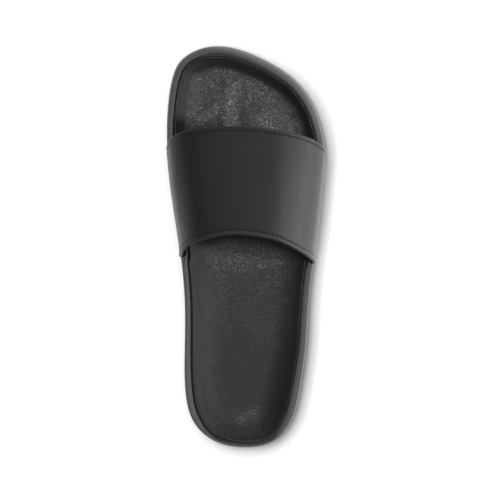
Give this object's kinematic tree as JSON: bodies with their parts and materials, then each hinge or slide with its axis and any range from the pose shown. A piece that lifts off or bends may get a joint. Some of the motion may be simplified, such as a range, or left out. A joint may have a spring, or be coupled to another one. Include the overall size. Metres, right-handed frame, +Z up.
{
  "type": "sport slide sandal",
  "caption": "Slip-on slide sandal for a right foot: one wide arched strap over a contoured footbed in a thick moulded sole.",
  "frame": {"origin": "on the floor under the middle of the sole's length and width", "axes": "+Y towards the toes, +X towards the outer side of the right foot, +Z up"},
  "size_m": [0.1118, 0.28, 0.0718],
  "materials": {
    "outsole": "moulded anthracite rubber foam, matt",
    "midsole": "moulded anthracite foam with a fine matt texture",
    "footbed": "moulded black foam with a leather-like grain",
    "strap": "smooth black coated leather, satin"
  },
  "bodies": {
    "root": {"outsole": "outsole", "midsole": "midsole", "footbed": "footbed", "strap": "strap"}
  },
  "joints": []
}
